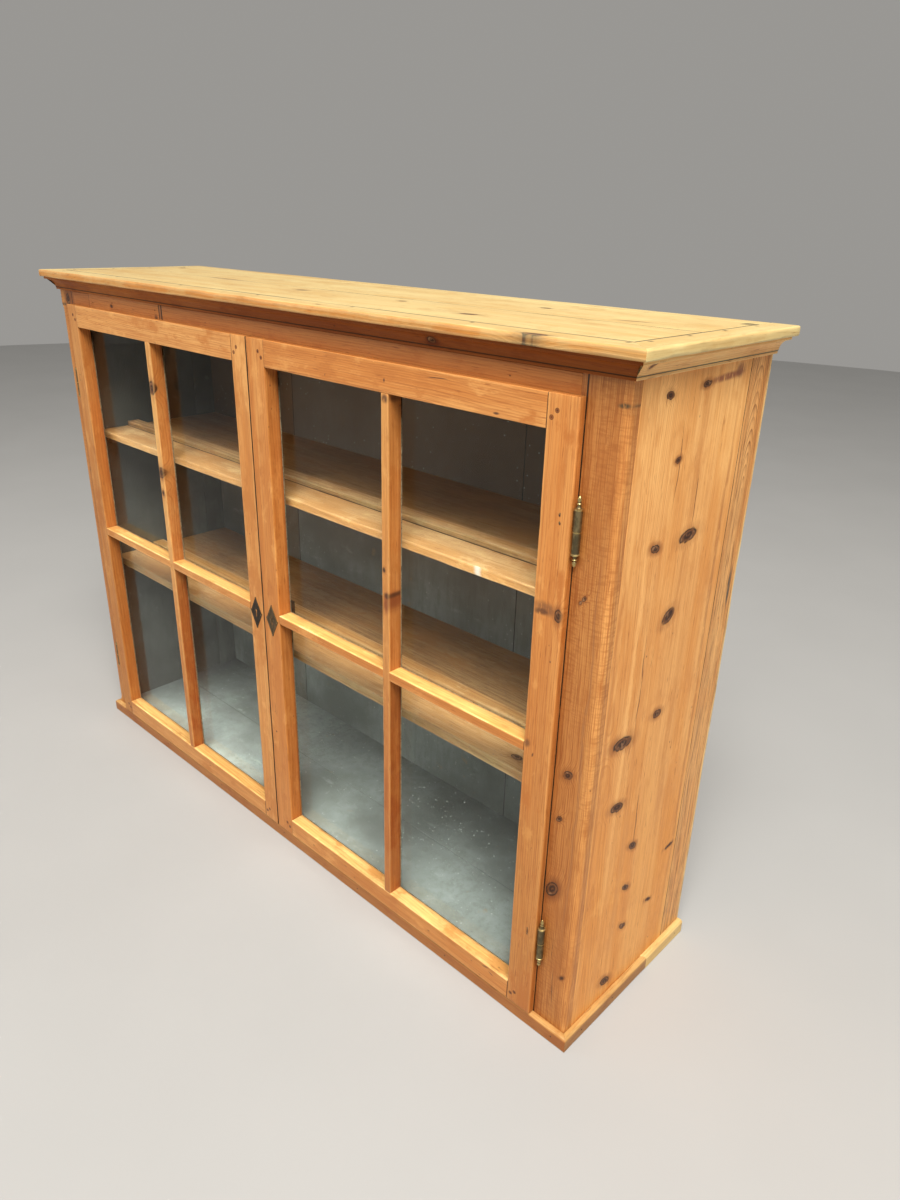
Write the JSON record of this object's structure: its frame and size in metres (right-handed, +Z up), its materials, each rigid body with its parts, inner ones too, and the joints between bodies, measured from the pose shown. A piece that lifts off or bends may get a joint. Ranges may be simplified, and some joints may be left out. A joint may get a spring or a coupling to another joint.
{
  "type": "display cabinet",
  "caption": "Low two-door display cabinet in old pine with small-paned glass doors, shelves with plate strips, a mitred cove and a boarded top.",
  "frame": {"origin": "middle of the overall box on the floor plane, below the middle of the cabinet", "axes": "+X along the front to the right as seen by someone facing the doors, +Y from the doors to the back, +Z up"},
  "size_m": [1.704, 0.44, 1.232],
  "materials": {
    "front_pine": "waxed",
    "side_pine": "waxed",
    "top_pine": "waxed",
    "shelf_pine": "bare",
    "dark_pine": "waxed",
    "painted_wood": "matt paint",
    "old_brass": "aged",
    "dark_iron": "aged",
    "window_glass": "clear",
    "putty": "matt"
  },
  "bodies": {
    "case": {"left_side": "side_pine", "right_side": "side_pine", "left_post": "front_pine", "right_post": "front_pine", "frieze_rail": "front_pine", "frieze_patch": "side_pine", "bottom_rail": "front_pine", "floor_boards": "painted_wood", "base_front": "front_pine", "base_left": "front_pine", "base_right": "front_pine", "base_patch": "side_pine", "cove_front": "dark_pine", "cove_left": "dark_pine", "cove_right": "dark_pine", "top_front_strip": "top_pine", "top_left_strip": "top_pine", "top_right_strip": "top_pine", "top_back_strip": "top_pine", "top_boards": "top_pine", "back_boards": "painted_wood", "upper_shelf": "shelf_pine", "lower_shelf": "shelf_pine", "upper_plate_strip": "shelf_pine", "lower_plate_strip": "shelf_pine", "shelf_cleats": "painted_wood", "hinge_post_halves": "old_brass", "case_nails": "dark_iron", "top_bolt_keep": "dark_iron"},
    "left_door": {"left_hinge_stile": "front_pine", "left_meeting_stile": "front_pine", "left_top_rail": "front_pine", "left_bottom_rail": "front_pine", "left_upright_bar": "front_pine", "left_cross_bar": "front_pine", "left_panes": "window_glass", "left_putty": "putty", "left_pegs": "dark_pine", "left_hinge_halves": "old_brass", "left_door_pins": "dark_iron", "left_escutcheon": "dark_iron", "left_bolt_plates": "dark_iron", "lock_keep": "old_brass"},
    "right_door": {"right_hinge_stile": "front_pine", "right_meeting_stile": "front_pine", "right_top_rail": "front_pine", "right_bottom_rail": "front_pine", "right_upright_bar": "front_pine", "right_cross_bar": "front_pine", "right_panes": "window_glass", "right_putty": "putty", "right_pegs": "dark_pine", "right_hinge_halves": "old_brass", "right_door_pins": "dark_iron", "right_escutcheon": "dark_iron", "lock_case": "dark_iron"},
    "lock_bolt": {"lock_bolt": "old_brass"},
    "top_bolt": {"left_top_bolt": "old_brass"},
    "bottom_bolt": {"left_bottom_bolt": "old_brass"}
  },
  "joints": [
    {"name": "left_door_swing", "type": "hinge", "parent": "case", "child": "left_door", "pos_m": [-0.769, -0.1955, 0.5885], "axis": [0, 0, -1], "range_deg": [0, 165]},
    {"name": "right_door_swing", "type": "hinge", "parent": "case", "child": "right_door", "pos_m": [0.758, -0.1955, 0.5885], "axis": [0, 0, 1], "range_deg": [0, 165]},
    {"name": "lock_bolt_shoot", "type": "slide", "parent": "right_door", "child": "lock_bolt", "axis": [-1, 0, 0], "range_m": [0, 0.01]},
    {"name": "top_bolt_slide", "type": "slide", "parent": "left_door", "child": "top_bolt", "axis": [0, 0, 1], "range_m": [0, 0.012]},
    {"name": "bottom_bolt_slide", "type": "slide", "parent": "left_door", "child": "bottom_bolt", "axis": [0, 0, -1], "range_m": [0, 0.012]}
  ]
}
